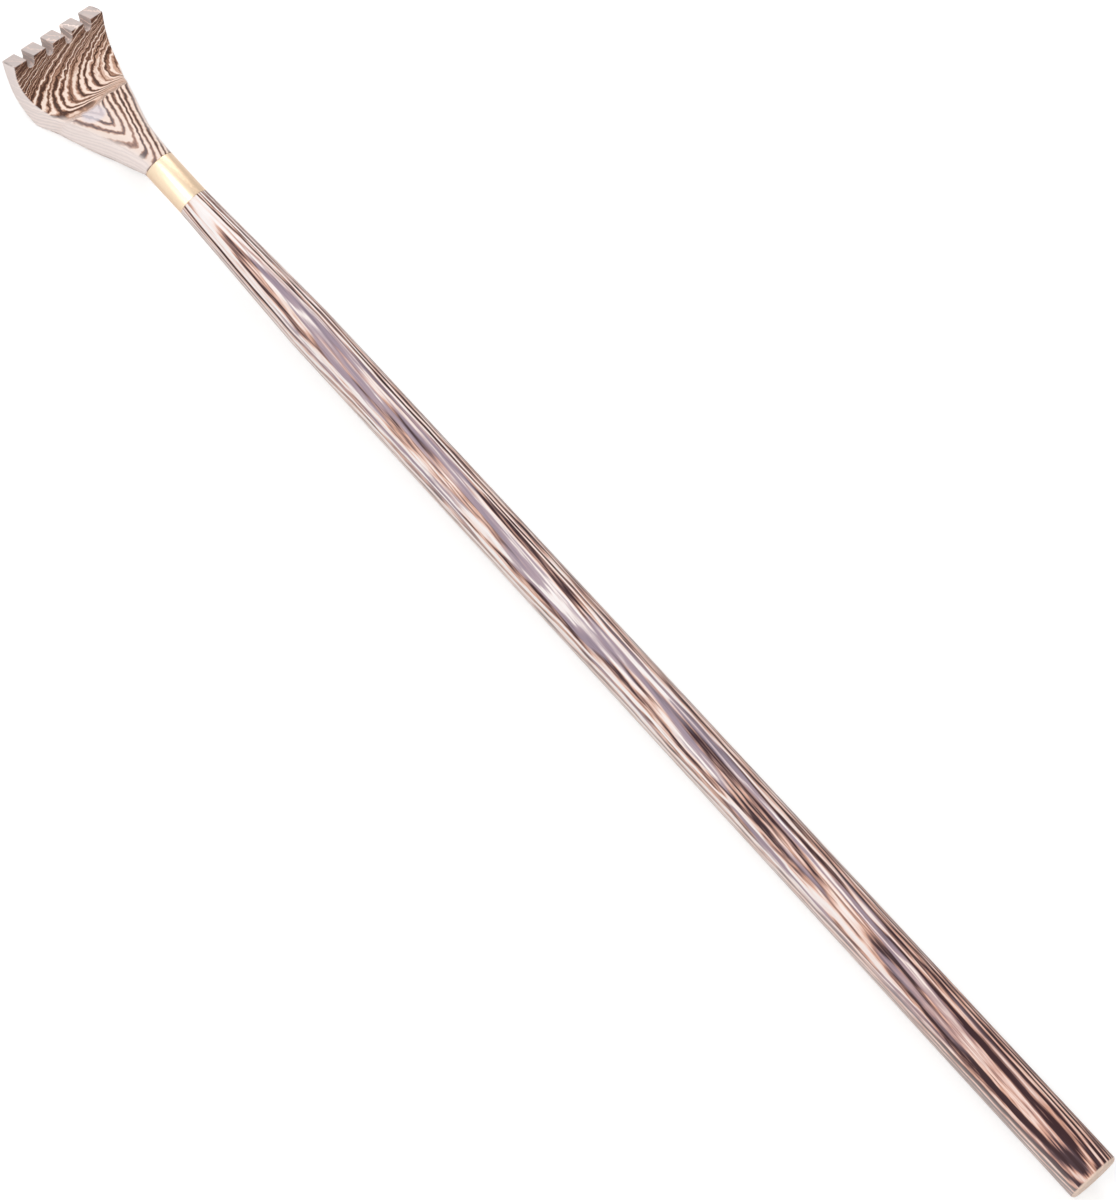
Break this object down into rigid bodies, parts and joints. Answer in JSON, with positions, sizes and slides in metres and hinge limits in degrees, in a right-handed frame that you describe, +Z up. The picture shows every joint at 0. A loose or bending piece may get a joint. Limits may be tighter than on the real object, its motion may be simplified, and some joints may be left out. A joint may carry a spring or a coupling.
{
  "type": "back scratcher",
  "caption": "Wooden back scratcher: a tapered round handle, a plain brass ferrule, and a flared wooden head that bends up into a row of square teeth.",
  "frame": {"origin": "centre of the flat butt face of the handle", "axes": "+X along the handle from the butt towards the head, +Z up, the way the teeth point when the part lies on a table, +Y to the left seen from the butt"},
  "size_m": [0.4367, 0.0344, 0.0186],
  "materials": {
    "head_wood": "satin",
    "ferrule_brass": "satin",
    "handle_wood": "satin"
  },
  "bodies": {
    "root": {"scratcher_head": "head_wood", "ferrule": "ferrule_brass", "handle": "handle_wood"}
  },
  "joints": []
}
